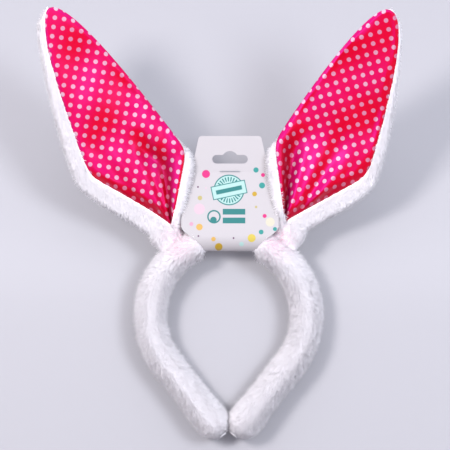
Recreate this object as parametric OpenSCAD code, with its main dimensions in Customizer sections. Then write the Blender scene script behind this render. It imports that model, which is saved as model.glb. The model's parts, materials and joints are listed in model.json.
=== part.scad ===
// Rabbit-ears headband as it is worn: +Z up, +X to the viewer's right, the satin faces towards -Y.
// The origin is the middle of the crown's inner face, where the top of the head touches.

/* [Ring] */
// Radius of the band's middle line round the head
ring_r = 62.4; // [54:0.2:75]
// Angle below the widest point at which each arm runs straight
arm_turn = 38; // [34:1:44]
// Radius of the plush sleeve
sleeve_r = 11; // [9.5:0.5:13]
// Gap between the two closed ends of the ring
end_gap = 0.8; // [0.4:0.1:3]
// Angle from the top at which the band bends when it is opened
flex_at = 50; // [48:1:56]
// Angle that each arm opens to fit a head
flex_open = 24; // [10:1:26]

/* [Plastic band] */
// Thickness of the strip
band_t = 1.8; // [1.2:0.1:2.4]
// Width of the strip
band_w = 10; // [7:0.5:12]
// Distance from the strip's tip to the middle of the sleeve's round end
band_short = 3; // [1:0.5:8]

/* [Ears] */
// Angle from the top at which an ear is sewn on
ear_at = 33.6; // [31:0.2:36]
// Length of the left satin panel's tip above the sleeve
left_ear_len = 211; // [150:1:250]
// Length of the right satin panel's tip above the sleeve
right_ear_len = 204; // [150:1:250]
// Half width that the satin's edges aim at
satin_half = 39.5; // [32:0.5:48]
// Height above the sleeve where the satin's edges start
satin_foot = 10; // [8:0.5:14]
// Height of the widest place
widest_at = 75; // [65:1:85]
// Plush rim beside the satin, on the side towards the card
rim_in = 3.5; // [2:0.5:4]
// Half width of the gathered foot, on the side towards the card
neck_in = 2.5; // [2:0.5:3]
// Plush rim beside the satin, on the outer side
rim_out = 9; // [6:0.5:12]
// Plush rim past the satin's tip
rim_tip = 4; // [2:0.5:8]
// Thickness of the plush behind the wadding
plush_t = 7; // [4:0.5:10]
// Thickness of the wadding
wadding_t = 3; // [2:0.5:5]
// Thickness of the satin
satin_t = 0.6; // [0.4:0.1:1]
// Height above the sleeve of the soft fold
fold_at = 95; // [85:1:120]
// Lean of the left ear from upright
left_lean = 29.2; // [20:0.2:32]
// Lean of the right ear from upright
right_lean = 25.8; // [20:0.2:32]
// Forward bend of the left ear's tip at rest
left_bend = 4; // [0:1:20]
// Forward bend of the right ear's tip at rest
right_bend = 14; // [0:1:20]

/* [Header card] */
// Thickness of the board
card_t = 0.5; // [0.3:0.1:0.8]
// Sideways place of the card's middle
card_x = 1.2; // [-1.2:0.2:1.2]
// Height of the card's top edge
card_top = 92; // [84:1:110]
// Half width of the top edge
card_top_half = 24.8; // [22:0.2:28]
// Half width at the widest place
card_half = 39.2; // [34:0.2:39.4]
// Height of the widest place
card_wide_z = 28.8; // [26:0.2:34]
// Half width of the neck round the band
neck_half = 21.6; // [16:0.2:24]
// Half width of the back half
back_half = 24; // [22:0.2:26]
// Length of the hang slot
slot_w = 28.4; // [24:0.2:32]
// Height of the hang slot
slot_h = 6.9; // [5:0.1:8]
// Radius of the hang slot's middle bump
slot_bump_r = 5.6; // [4.5:0.1:7]
// Distance from the card's top edge to the slot's middle line
slot_drop = 18.6; // [15:0.2:24]

/* [Staple] */
// Length of the staple's crown
staple_w = 16; // [10:0.5:18]
// Radius of the staple's wire
wire_r = 0.4; // [0.3:0.05:0.6]
// Distance from the slot's middle line down to the staple
staple_drop = 10.7; // [8:0.1:14]

/* [Thread] */
// Radius of the sewing thread
thread_r = 0.4; // [0.3:0.05:0.6]

/* [Hidden] */
$fn = 64;

fit = 0.3;           // clearance between two pieces that lie together
wall = 60;           // more than any piece's depth, for cuts that go right through
white = "white";
pink = "deeppink";

// Ring
ring_z = sleeve_r - ring_r;                  // height of the ring's middle
end_x = sleeve_r + end_gap / 2;              // sideways place of a sleeve end's middle
arm_len = (ring_r * cos(arm_turn) - end_x) / sin(arm_turn);
flex_cut = flex_open / 2 + 1;                // half the wedge that the sleeve closes when it opens
band_gap = band_t / 2 * sin(flex_open) + fit;
arm_r = sleeve_r - 0.05;                     // the straight stretch is a hair thinner than the curve
step_in = 1;                                 // and starts this far inside it

// Card loop, which presses the plush in a little
pinch_r = sleeve_r - 0.6;
loop_r = pinch_r + fit;
loop_mid = loop_r + card_t / 2;
slot_z = card_top - slot_drop;
staple_z = slot_z - staple_drop;
ply_y = fit / 2 + card_t / 2;                // middle of each half above the staple
reach = norm([ply_y, staple_z - sleeve_r]);  // from the loop's middle to the staple line
loop_open = acos(loop_mid / reach) + asin(ply_y / reach);

// Ear layers, front to back, in the ear's own depth
satin_y = -3;
wadding_y = satin_y + satin_t + fit;
back_y = wadding_y + wadding_t + fit;
rim_y = satin_y + 0.4;
ear_depth = back_y + plush_t;
fold_y = satin_y - 0.4;
foot_z = 2.2;                                // lowest point of an ear's plush above the sleeve
fold_gap = 0.8;

// One outline for every layer: a straight-sided foot, a round shoulder and a pointed leaf above it
function edge(z, half, foot, tip, neck = 0.01) =
    let (a = max(half * (z - foot) / (widest_at - foot), neck),
         b = half * pow(max(1 - (z - widest_at) / (tip - widest_at), 0.0001), 0.52))
    z < widest_at - 40 ? a : pow(pow(a, -8) + pow(b, -8), -1 / 8);
function steps(z0, z1, n = 18) = [for (i = [0:n]) z0 + (z1 - z0) * (1 - pow(1 - i / n, 1.6))];

module leaf(z0, z1, foot, tip, grow_in, grow_out) {
    zs = steps(z0, min(z1, tip - 0.05));
    n = len(zs) - 1;
    polygon(concat(
        [for (i = [0:n]) [edge(zs[i], satin_half + grow_out, foot, tip), zs[i]]],
        [for (i = [n:-1:0]) [-edge(zs[i], satin_half + grow_in, foot, tip), zs[i]]]
    ));
}
function rim_out_at(z, tip) = edge(z, satin_half + rim_out, foot_z - 8, tip);
function rim_in_at(z, tip) = edge(z, satin_half + rim_in, satin_foot - 1, tip, neck_in);
module rim_leaf(z0, z1, tip) {
    zs = steps(z0, min(z1, tip - 0.05));
    n = len(zs) - 1;
    polygon(concat(
        [for (i = [0:n]) [rim_out_at(zs[i], tip), zs[i]]],
        [for (i = [n:-1:0]) [-rim_in_at(zs[i], tip), zs[i]]]
    ));
}

// A flat outline (across, up) given its depth from y0 to y1
module plate(y0, y1) {
    translate([0, y1, 0]) rotate([90, 0, 0]) linear_extrude(y1 - y0) children();
}

// The right half's frames; the left half is its mirror image
module mirrored(side) {
    mirror([side < 0 ? 1 : 0, 0, 0]) children();
}
module in_ring(angle) {
    translate([0, 0, ring_z]) rotate([90, 0, 0]) rotate(angle) children();
}
module in_arm() {
    translate([ring_r * cos(arm_turn), 0, ring_z - ring_r * sin(arm_turn)])
        rotate([0, 180 + arm_turn, 0]) children();
}
module in_ear(lean) {
    translate([(ring_r + sleeve_r) * sin(ear_at), 0, ring_z + (ring_r + sleeve_r) * cos(ear_at)])
        rotate([0, lean, 0]) children();
}
module in_tip(lean, bend) {
    in_ear(lean) translate([0, fold_y, fold_at]) rotate([bend, 0, 0])
        translate([0, -fold_y, -fold_at]) children();
}

// Ring pieces
module arc(a0, a1) {
    in_ring(a0) rotate_extrude(angle = a1 - a0, $fn = 96) translate([ring_r, 0]) children();
}
module band_section(grow = 0) {
    square([band_t + 2 * grow, band_w + 2 * grow], center = true);
}
module band_arc(a0, a1, grow = 0) {
    arc(a0, a1) band_section(grow);
}
module band_arm(grow = 0) {
    shank = arm_len - band_short - band_w / 2;
    in_arm() {
        translate([0, 0, -0.01]) linear_extrude(shank + 0.01) band_section(grow);
        translate([0, 0, shank]) rotate([0, 90, 0])
            cylinder(h = band_t + 2 * grow, r = band_w / 2 + grow, center = true);
    }
}
module flex_wedge() {
    in_ring(90 - flex_at) translate([ring_r, 0, -wall / 2]) linear_extrude(wall)
        polygon([
            [-sleeve_r - 2, -fit / 2], [0, -fit / 2],
            [sleeve_r + 4, -fit / 2 - (sleeve_r + 4) * tan(flex_cut)],
            [sleeve_r + 4, fit / 2 + (sleeve_r + 4) * tan(flex_cut)],
            [0, fit / 2], [-sleeve_r - 2, fit / 2]
        ]);
}
module band_crown() {
    gap = band_gap / ring_r * 90 / PI;
    color(white) band_arc(90 - flex_at + gap, 90 + flex_at - gap);
}
module band_side(side) {
    gap = band_gap / ring_r * 90 / PI;
    color(white) mirrored(side) {
        band_arc(-arm_turn, 90 - flex_at - gap);
        band_arm();
    }
}
module card_channel() {
    half = neck_half + 1;
    difference() {
        translate([card_x - half, -wall / 2, -sleeve_r]) cube([2 * half, wall, 3 * sleeve_r]);
        translate([card_x - half - 1, 0, sleeve_r]) rotate([0, 90, 0])
            cylinder(h = 2 * half + 2, r = pinch_r);
    }
}
module sleeve_crown() {
    color(white) difference() {
        arc(90 - flex_at, 90 + flex_at) circle(sleeve_r);
        band_arc(90 - flex_at - 1, 90 + flex_at + 1, fit);
        flex_wedge();
        mirrored(-1) flex_wedge();
        card_channel();
    }
}
module sleeve_side(side) {
    color(white) mirrored(side) difference() {
        union() {
            arc(-arm_turn, 90 - flex_at) circle(sleeve_r);
            in_arm() rotate_extrude() intersection() {
                translate([0, -step_in]) square([sleeve_r + 1, step_in + arm_len + sleeve_r + 1]);
                union() {
                    translate([-arm_r, -step_in]) square([2 * arm_r, step_in + arm_len]);
                    translate([0, arm_len]) circle(arm_r);
                }
            }
        }
        band_arc(-arm_turn, 90 - flex_at + 1, fit);
        band_arm(fit);
        flex_wedge();
    }
}
module end_stitch(side) {
    turn_r = 3;
    color(white) mirrored(side) in_arm()
        translate([0, 0, arm_len + sqrt(pow(sleeve_r + fit + thread_r, 2) - turn_r * turn_r)])
            rotate_extrude($fn = 48) translate([turn_r, 0]) circle(thread_r, $fn = 16);
}

// Ear layers, each cut at the fold
module back_layer(z0, z1, len) {
    difference() {
        plate(rim_y, ear_depth) rim_leaf(z0, z1, len + rim_tip);
        plate(rim_y - 1, back_y) leaf(satin_foot - 1, z1 + 1, satin_foot - 1.5, len + fit, fit, fit);
    }
}
module satin_layer(z0, z1, len) {
    plate(satin_y, satin_y + satin_t) leaf(z0, z1, satin_foot, len, 0, 0);
}
module wadding_layer(z0, z1, len) {
    inset = 2;
    plate(wadding_y, wadding_y + wadding_t)
        leaf(z0, z1, satin_foot + inset, len - 2 * inset, -inset, -inset);
}
low_end = fold_at - fold_gap / 2;
tip_start = fold_at + fold_gap / 2;
inner_start = satin_foot + 6;                // where the narrow foot of the inner layers starts
tip_past = 400;                              // beyond any ear, so that a layer runs to its own tip

module ear_back(side, lean, len) {
    color(white) mirrored(side) in_ear(lean) back_layer(foot_z, low_end, len);
}
module ear_satin(side, lean, len) {
    color(pink) mirrored(side) in_ear(lean) satin_layer(inner_start - 4, low_end, len);
}
module ear_wadding(side, lean, len) {
    color(white) mirrored(side) in_ear(lean) wadding_layer(inner_start, low_end, len);
}
module ear_gather(side, lean) {
    gather_z = foot_z + 2.4;
    half_out = rim_out_at(gather_z + thread_r, left_ear_len) + fit;
    half_in = rim_in_at(gather_z + thread_r, left_ear_len) + fit;
    wide = 2 * thread_r;
    color(white) mirrored(side) in_ear(lean)
        translate([-half_in - wide, rim_y - fit - wide, gather_z - thread_r]) difference() {
            cube([half_in + half_out + 2 * wide, ear_depth - rim_y + 2 * (fit + wide), wide]);
            translate([wide, wide, -1])
                cube([half_in + half_out, ear_depth - rim_y + 2 * fit, wide + 2]);
        }
}
module tip_back(side, lean, bend, len) {
    color(white) mirrored(side) in_tip(lean, bend) back_layer(tip_start, tip_past, len);
}
module tip_satin(side, lean, bend, len) {
    color(pink) mirrored(side) in_tip(lean, bend) satin_layer(tip_start, tip_past, len);
}
module tip_wadding(side, lean, bend, len) {
    color(white) mirrored(side) in_tip(lean, bend) wadding_layer(tip_start, tip_past, len);
}

// Header card: a side profile (depth, up) across the whole width, cut to the front and back outlines
module across(x0, x1) {
    translate([x0, 0, 0]) rotate([90, 0, 90]) linear_extrude(x1 - x0) children();
}
module half_profile() {
    dir = [-sin(loop_open), cos(loop_open)];
    foot = [0, sleeve_r] + loop_mid * dir;
    knee = [-ply_y, staple_z];
    polygon([
        foot - card_t / 2 * dir, foot + card_t / 2 * dir,
        knee + card_t / 2 * dir, knee - card_t / 2 * dir
    ]);
    translate([-ply_y - card_t / 2, staple_z - 0.1]) square([card_t, card_top - staple_z + 0.1]);
}
module loop_profile() {
    far = 3 * sleeve_r;
    translate([0, sleeve_r]) difference() {
        circle(loop_r + card_t, $fn = 96);
        circle(loop_r, $fn = 96);
        polygon([[0, 0], far * [-sin(loop_open - 0.2), cos(loop_open - 0.2)],
                 [0, 2 * far], far * [sin(loop_open - 0.2), cos(loop_open - 0.2)]]);
    }
}
module front_outline() {
    neck_top = 0.28 * card_wide_z;
    shoulder = 0.64 * card_wide_z;
    polygon([
        [-neck_half, -sleeve_r], [neck_half, -sleeve_r], [neck_half, 0.4 * neck_top],
        [neck_half + 1.6, 0.75 * neck_top], [neck_half + 5, neck_top + 1],
        [card_half - 3, shoulder - 3], [card_half - 0.8, shoulder - 0.8], [card_half, shoulder + 2],
        [card_half, card_wide_z - 2], [card_half - 0.4, card_wide_z],
        [card_top_half + 0.4, card_top - 2], [card_top_half - 1.4, card_top],
        [-card_top_half + 1.4, card_top], [-card_top_half - 0.4, card_top - 2],
        [-card_half + 0.4, card_wide_z], [-card_half, card_wide_z - 2],
        [-card_half, shoulder + 2], [-card_half + 0.8, shoulder - 0.8], [-card_half + 3, shoulder - 3],
        [-neck_half - 5, neck_top + 1], [-neck_half - 1.6, 0.75 * neck_top],
        [-neck_half, 0.4 * neck_top]
    ]);
}
module back_outline() {
    polygon([
        [-neck_half, -sleeve_r], [neck_half, -sleeve_r], [neck_half, 0.5 * card_wide_z],
        [back_half, card_wide_z], [back_half, card_top - 2], [back_half - 1.4, card_top],
        [-back_half + 1.4, card_top], [-back_half, card_top - 2], [-back_half, card_wide_z],
        [-neck_half, 0.5 * card_wide_z]
    ]);
}
module slot() {
    end_r = slot_h / 2;
    union() {
        square([slot_w - slot_h, slot_h], center = true);
        for (s = [-1, 1]) translate([s * (slot_w / 2 - end_r), 0]) circle(end_r);
        translate([0, slot_h / 2 - 2.4]) circle(slot_bump_r);
    }
}
module header_card() {
    color("white") translate([card_x, 0, 0]) difference() {
        union() {
            intersection() {
                across(-card_half - 1, card_half + 1) half_profile();
                plate(-wall / 2, 0) front_outline();
            }
            mirror([0, 1, 0]) intersection() {
                across(-card_half - 1, card_half + 1) half_profile();
                plate(-wall / 2, 0) back_outline();
            }
            across(-neck_half, neck_half) loop_profile();
        }
        translate([0, 0, slot_z]) plate(-wall / 2, wall / 2) slot();
        for (s = [-1, 1]) translate([s * (staple_w / 2 - wire_r), wall / 2, staple_z + 1])
            rotate([90, 0, 0]) cylinder(h = wall, r = wire_r + 0.1, $fn = 24);
    }
}
module card_staple() {
    front_y = -ply_y - card_t / 2 - 0.1 - wire_r;
    leg_x = staple_w / 2 - wire_r;
    toe = 6;
    color("silver") translate([card_x, 0, staple_z + 1]) {
        translate([-leg_x, front_y, 0]) rotate([0, 90, 0]) cylinder(h = 2 * leg_x, r = wire_r, $fn = 24);
        for (s = [-1, 1]) translate([s * leg_x, 0, 0]) {
            translate([0, front_y, 0]) sphere(wire_r, $fn = 24);
            translate([0, front_y, 0]) rotate([-90, 0, 0])
                cylinder(h = -2 * front_y, r = wire_r, $fn = 24);
            translate([0, -front_y, 0]) sphere(wire_r, $fn = 24);
            translate([0, -front_y, 0]) rotate([0, -90 * s, 0])
                cylinder(h = toe, r = wire_r, $fn = 24);
        }
    }
}

band_crown();
band_side(-1);  // band_left
band_side(1);  // band_right
sleeve_crown();
sleeve_side(-1);  // sleeve_left
sleeve_side(1);  // sleeve_right
end_stitch(-1);  // left_end_stitch
end_stitch(1);  // right_end_stitch
ear_back(-1, left_lean, left_ear_len);  // left_ear_back
ear_satin(-1, left_lean, left_ear_len);  // left_ear_satin
ear_wadding(-1, left_lean, left_ear_len);  // left_ear_wadding
ear_gather(-1, left_lean);  // left_ear_gather
tip_back(-1, left_lean, left_bend, left_ear_len);  // left_tip_back
tip_satin(-1, left_lean, left_bend, left_ear_len);  // left_tip_satin
tip_wadding(-1, left_lean, left_bend, left_ear_len);  // left_tip_wadding
ear_back(1, right_lean, right_ear_len);  // right_ear_back
ear_satin(1, right_lean, right_ear_len);  // right_ear_satin
ear_wadding(1, right_lean, right_ear_len);  // right_ear_wadding
ear_gather(1, right_lean);  // right_ear_gather
tip_back(1, right_lean, right_bend, right_ear_len);  // right_tip_back
tip_satin(1, right_lean, right_bend, right_ear_len);  // right_tip_satin
tip_wadding(1, right_lean, right_bend, right_ear_len);  // right_tip_wadding
header_card();
card_staple();
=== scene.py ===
# %% [markdown]
# # A plush rabbit-ears headband
#
# This notebook dresses the CAD model of a party headband: a springy band in a white plush tube, two
# tall ears faced with dotted satin, and the folded card that it hangs from in a shop. The CAD model
# already holds every size and every joint. Here each soft piece gets its real surface.

# %% Load the frame
import math
import json
import bpy
import bmesh
import numpy as np
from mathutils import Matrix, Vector


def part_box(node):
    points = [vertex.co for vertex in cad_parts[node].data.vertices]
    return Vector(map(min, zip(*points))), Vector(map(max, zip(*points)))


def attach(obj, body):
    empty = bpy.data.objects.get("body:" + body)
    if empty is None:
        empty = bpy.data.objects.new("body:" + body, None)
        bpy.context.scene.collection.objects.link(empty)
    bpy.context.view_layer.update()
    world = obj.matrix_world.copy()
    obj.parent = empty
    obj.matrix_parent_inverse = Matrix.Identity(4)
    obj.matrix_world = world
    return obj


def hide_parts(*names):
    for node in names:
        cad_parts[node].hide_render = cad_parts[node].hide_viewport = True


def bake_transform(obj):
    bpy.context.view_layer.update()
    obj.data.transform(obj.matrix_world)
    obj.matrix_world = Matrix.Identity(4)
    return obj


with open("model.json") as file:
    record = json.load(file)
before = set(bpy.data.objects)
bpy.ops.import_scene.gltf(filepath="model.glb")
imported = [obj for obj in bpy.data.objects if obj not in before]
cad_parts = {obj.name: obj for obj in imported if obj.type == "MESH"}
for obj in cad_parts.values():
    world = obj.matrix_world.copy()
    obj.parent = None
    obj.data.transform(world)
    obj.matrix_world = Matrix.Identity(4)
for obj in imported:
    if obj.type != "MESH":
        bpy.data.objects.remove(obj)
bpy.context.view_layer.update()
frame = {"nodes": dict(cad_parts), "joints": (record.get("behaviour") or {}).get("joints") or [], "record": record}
joints = {j["name"]: j for j in frame["joints"]}
MM = 0.001

# %% [markdown]
# The ring is a circle over the head that runs on into two straight arms. Its measures are read from
# the CAD pieces, so that the plush follows the model if a size changes.

# %% Measure the ring
arm_low, arm_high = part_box("sleeve_right")
tube_r = (arm_high.y - arm_low.y) / 2
ring_r = arm_high.x - tube_r
ring_z = tube_r - ring_r
end_centre = Vector((arm_low.x + tube_r, 0, arm_low.z + tube_r))
to_end = Vector((end_centre.x, end_centre.z - ring_z))
end_angle = math.atan2(to_end.x, -to_end.y)
turn = math.pi - end_angle - math.acos(ring_r / to_end.length)
arc_len = ring_r * turn
arm_len = math.sqrt(to_end.length ** 2 - ring_r ** 2)
half_len = arc_len + arm_len
print(f"ring radius {ring_r / MM:.1f} mm, tube {tube_r / MM:.1f} mm, half length {half_len / MM:.1f} mm")


def ring_line(t):
    """Middle line of the right half, t metres from the top: places, directions and outward normals."""
    a = np.minimum(t, arc_len) / ring_r
    past = np.maximum(t - arc_len, 0)
    along = np.stack([np.cos(a), 0 * a, -np.sin(a)], -1)
    out = np.stack([np.sin(a), 0 * a, np.cos(a)], -1)
    place = np.array([0, 0, ring_z]) + ring_r * out + past[..., None] * along
    return place, along, out


# %% [markdown]
# The camera comes first. It looks straight at the front through a long lens, so that the ears keep
# their true outline. The stage is one pale sheet that stands just behind the headband and runs
# forward below it as a floor. Above the crown it leans back, so that an ear tilted backwards stays in
# front of it. Its back side is clear, so that it hides nothing seen from behind.

# %% Camera
view_w = 0.36
view_x, view_z = -0.0028, 0.0208
camera_far = 2.4
camera_data = bpy.data.cameras.new("camera")
camera = bpy.data.objects.new("camera", camera_data)
bpy.context.scene.collection.objects.link(camera)
camera.location = (view_x, -camera_far, view_z)
camera.rotation_euler = (math.pi / 2, 0, 0)
camera_data.sensor_width = 36
camera_data.lens = 36 * camera_far / view_w
camera_data.clip_end = 20
bpy.context.scene.camera = camera
bpy.context.scene.view_settings.view_transform = "Standard"
print(f"lens {camera_data.lens:.0f} mm")


# %% Helpers for building
def deselect():
    if bpy.context.mode != "OBJECT":
        bpy.ops.object.mode_set(mode="OBJECT")
    bpy.ops.object.select_all(action="DESELECT")


def choose(obj):
    deselect()
    obj.select_set(True)
    bpy.context.view_layer.objects.active = obj
    return obj


def named(name):
    obj = bpy.context.object
    obj.name = name
    obj.data.name = name
    return obj


def points(obj):
    co = np.empty(len(obj.data.vertices) * 3)
    obj.data.vertices.foreach_get("co", co)
    return co.reshape(-1, 3)


def set_points(obj, co):
    obj.data.vertices.foreach_set("co", np.ascontiguousarray(co, dtype=np.float32).ravel())
    obj.data.update()


def face_outward(obj):
    choose(obj)
    bpy.ops.object.mode_set(mode="EDIT")
    bpy.ops.mesh.select_all(action="SELECT")
    bpy.ops.mesh.normals_make_consistent(inside=False)
    bpy.ops.object.mode_set(mode="OBJECT")


def smooth(obj):
    choose(obj)
    bpy.ops.object.shade_smooth()


def apply_modifier(obj, kind, **values):
    choose(obj)
    m = obj.modifiers.new(kind.title(), kind)
    for key, value in values.items():
        setattr(m, key, value)
    bpy.ops.object.modifier_apply(modifier=m.name)


def smoothstep(x, low, high):
    t = np.clip((x - low) / (high - low), 0, 1)
    return t * t * (3 - 2 * t)


# %% [markdown]
# Lights: two wide soft boxes in front, a warm one high on the right and a cool one high on the left,
# give the two faint shadows of a product table. A dim one behind keeps the back views readable.

# %% Stage and lights
stage_y = tube_r + 3.5 * MM
floor_z = arm_low.z - 28 * MM
bpy.ops.mesh.primitive_plane_add(size=1)
backdrop = named("backdrop")
bpy.ops.object.mode_set(mode="EDIT")
bpy.ops.mesh.select_all(action="SELECT")
bpy.ops.mesh.subdivide(number_cuts=160)
bpy.ops.object.mode_set(mode="OBJECT")
sheet_co = points(backdrop)
sweep = 0.01
drop = 2.2 * (2 * sheet_co[:, 1]) ** 3
angle = np.clip(drop / sweep, 0, math.pi / 2)
up = np.where(drop < 0, -drop, -sweep * np.sin(angle))
ahead = np.where(drop < 0, 0, sweep * (1 - np.cos(angle)) + np.maximum(drop - sweep * math.pi / 2, 0))
height = floor_z + sweep + up
knee_w = 10 * MM
lean_back = 0.62 * knee_w * np.logaddexp(0, (height + 14 * MM) / knee_w)
sheet_co = np.stack([sheet_co[:, 0] * 5, stage_y - ahead + lean_back, height], -1)
set_points(backdrop, sheet_co)
face_outward(backdrop)
smooth(backdrop)
if max(backdrop.data.polygons, key=lambda p: p.center.z).normal.y > 0:
    backdrop.data.flip_normals()
backdrop.visible_shadow = False
bpy.ops.mesh.primitive_plane_add(size=1)
rear_floor = named("rear_floor")
set_points(rear_floor, points(rear_floor) * (5, 2.5, 0) + (0, stage_y + 1.251, floor_z))

paper = bpy.data.materials.new("pale_stage")
paper.use_nodes = True
tree = paper.node_tree
principled = tree.nodes["Principled BSDF"]
principled.inputs["Base Color"].default_value = (0.385, 0.378, 0.400, 1)
principled.inputs["Roughness"].default_value = 0.9
principled.inputs["Specular IOR Level"].default_value = 0.2
geometry = tree.nodes.new("ShaderNodeNewGeometry")
clear = tree.nodes.new("ShaderNodeBsdfTransparent")
mix = tree.nodes.new("ShaderNodeMixShader")
tree.links.new(geometry.outputs["Backfacing"], mix.inputs[0])
tree.links.new(principled.outputs[0], mix.inputs[1])
tree.links.new(clear.outputs[0], mix.inputs[2])
tree.links.new(mix.outputs[0], tree.nodes["Material Output"].inputs["Surface"])
for floor in (backdrop, rear_floor):
    floor.data.materials.append(paper)


def soft_box(name, place, size, power, colour):
    data = bpy.data.lights.new(name, "AREA")
    data.shape = "SQUARE"
    data.size = size
    data.energy = power
    data.color = colour
    light = bpy.data.objects.new(name, data)
    light.location = place
    light.rotation_euler = (Vector((0, 0, 0.02)) - Vector(place)).to_track_quat("-Z", "Y").to_euler()
    bpy.context.scene.collection.objects.link(light)
    return light


soft_box("box_left", (-0.9, -1.5, 0.45), 0.42, 25, (1.0, 0.965, 0.96))
soft_box("box_right", (0.95, -1.5, 0.3), 0.55, 20.5, (0.90, 0.94, 1.0))
soft_box("box_top", (0.0, -0.9, 1.5), 0.9, 4, (0.98, 0.97, 1.0))
soft_box("box_back", (0.4, 1.6, 0.9), 1.0, 22, (0.97, 0.97, 1.0))
world = bpy.data.worlds.new("room")
bpy.context.scene.world = world
world.use_nodes = True
world.node_tree.nodes["Background"].inputs["Color"].default_value = (0.85, 0.87, 1.0, 1)
world.node_tree.nodes["Background"].inputs["Strength"].default_value = 0.98


# %% [markdown]
# ## Finishes
#
# A small helper adds nodes with their values, so that each material reads as a recipe. The plush is
# near-white with a faint lilac tint that wanders a little over the cloth. Each tuft carries a `tip`
# value, 0 at its root and 1 at its end, and the colour brightens along it: painted shade that
# makes the roots, deep in the pile, a little darker than the tips.

# %% Node helper
def add(tree, kind, links=(), **values):
    node = tree.nodes.new("ShaderNode" + kind)
    for key, value in values.items():
        if hasattr(node, key):
            setattr(node, key, value)
        else:
            node.inputs[key.replace("_", " ")].default_value = value
    for source, target in links:
        tree.links.new(source, node.inputs[target])
    return node


def math_node(tree, operation, a, b=None, c=None, clamp=False):
    node = tree.nodes.new("ShaderNodeMath")
    node.operation = operation
    node.use_clamp = clamp
    for i, value in enumerate((a, b, c)):
        if value is None:
            continue
        if isinstance(value, (int, float)):
            node.inputs[i].default_value = value
        else:
            tree.links.new(value, node.inputs[i])
    return node.outputs[0]


def mix_colour(tree, factor, a, b, kind="MIX"):
    node = tree.nodes.new("ShaderNodeMix")
    node.data_type = "RGBA"
    node.blend_type = kind
    for value, target in ((factor, node.inputs[0]), (a, node.inputs[6]), (b, node.inputs[7])):
        if isinstance(value, (int, float)):
            target.default_value = value
        elif isinstance(value, tuple):
            target.default_value = (*value, 1)
        else:
            tree.links.new(value, target)
    return node.outputs[2]


def material(name, colour, rough, **sockets):
    mat = bpy.data.materials.new(name)
    mat.use_nodes = True
    shader = mat.node_tree.nodes["Principled BSDF"]
    shader.inputs["Base Color"].default_value = (*colour, 1)
    shader.inputs["Roughness"].default_value = rough
    for key, value in sockets.items():
        shader.inputs[key.replace("_", " ")].default_value = value
    return mat, mat.node_tree, shader


# %% Mottle: a group that several materials share
mottle = bpy.data.node_groups.new("mottle", "ShaderNodeTree")
mottle.interface.new_socket("Scale", in_out="INPUT", socket_type="NodeSocketFloat")
mottle.interface.new_socket("Strength", in_out="INPUT", socket_type="NodeSocketFloat")
mottle.interface.new_socket("Value", in_out="OUTPUT", socket_type="NodeSocketFloat")
m_in = mottle.nodes.new("NodeGroupInput")
m_out = mottle.nodes.new("NodeGroupOutput")
m_place = mottle.nodes.new("ShaderNodeTexCoord")
m_noise = mottle.nodes.new("ShaderNodeTexNoise")
m_noise.inputs["Detail"].default_value = 4
mottle.links.new(m_place.outputs["Object"], m_noise.inputs["Vector"])
mottle.links.new(m_in.outputs["Scale"], m_noise.inputs["Scale"])
m_centred = math_node(mottle, "SUBTRACT", m_noise.outputs["Fac"], 0.5)
mottle.links.new(math_node(mottle, "MULTIPLY", m_centred, m_in.outputs["Strength"]), m_out.inputs[0])


def mottled(tree, scale, strength):
    node = tree.nodes.new("ShaderNodeGroup")
    node.node_tree = mottle
    node.inputs["Scale"].default_value = scale
    node.inputs["Strength"].default_value = strength
    return node.outputs[0]


# %% Plush
plush, tree, shader = material("white_plush", (0.86, 0.82, 0.87), 1.0, Sheen_Weight=0.4,
                               Sheen_Roughness=0.6, Specular_IOR_Level=0.05)
shader.inputs["Sheen Tint"].default_value = (1, 0.97, 1, 1)
tip = add(tree, "Attribute", attribute_name="tip")
wander = mottled(tree, 60, 1.4)
# Painted shade: the plush is a little darker at the tufts' roots, deep in the pile, and brighter at their tips,
# with a random mottle added.
painted_root_shade_and_mottle = math_node(tree, "ADD", tip.outputs["Fac"], wander, clamp=True)
white = mix_colour(tree, painted_root_shade_and_mottle, (0.92, 0.885, 0.92), (0.94, 0.905, 0.94))
blush = add(tree, "Attribute", attribute_name="blush")
# A pink tint on the plush near each ear's foot.
foot_pink = math_node(tree, "MULTIPLY", blush.outputs["Fac"], 0.5, clamp=True)
tree.links.new(mix_colour(tree, foot_pink, white, (0.88, 0.30, 0.50)), shader.inputs["Base Color"])

# %% [markdown]
# The satin is printed with round white dots on a square lattice. The dots are drawn in the cloth's
# own flat measure (the UV map `cloth`, in lattice steps), so that they squash where it puckers.

# %% Satin
dot_step = 7.44 * MM
dot_r = 1.8 * MM / dot_step
satin, tree, shader = material("dotted_satin", (0.50, 0.001, 0.04), 0.36, Specular_IOR_Level=0.5,
                               Anisotropic=0.5, Sheen_Weight=0.08, Sheen_Roughness=0.3)
shader.inputs["Sheen Tint"].default_value = (1, 0.1, 0.6, 1)
shader.inputs["Specular Tint"].default_value = (1, 0.12, 0.6, 1)
cloth = add(tree, "UVMap", uv_map="cloth")
cell = add(tree, "VectorMath", [(cloth.outputs[0], 0)], operation="FRACTION")
centred = add(tree, "VectorMath", [(cell.outputs[0], 0)], operation="SUBTRACT")
centred.inputs[1].default_value = (0.5, 0.5, 0)
away = add(tree, "VectorMath", [(centred.outputs[0], 0)], operation="LENGTH")
in_dot = add(tree, "MapRange", [(away.outputs["Value"], "Value")], interpolation_type="SMOOTHSTEP")
for key, value in (("From Min", dot_r - 0.02), ("From Max", dot_r + 0.02), ("To Min", 1), ("To Max", 0)):
    in_dot.inputs[key].default_value = value
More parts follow.
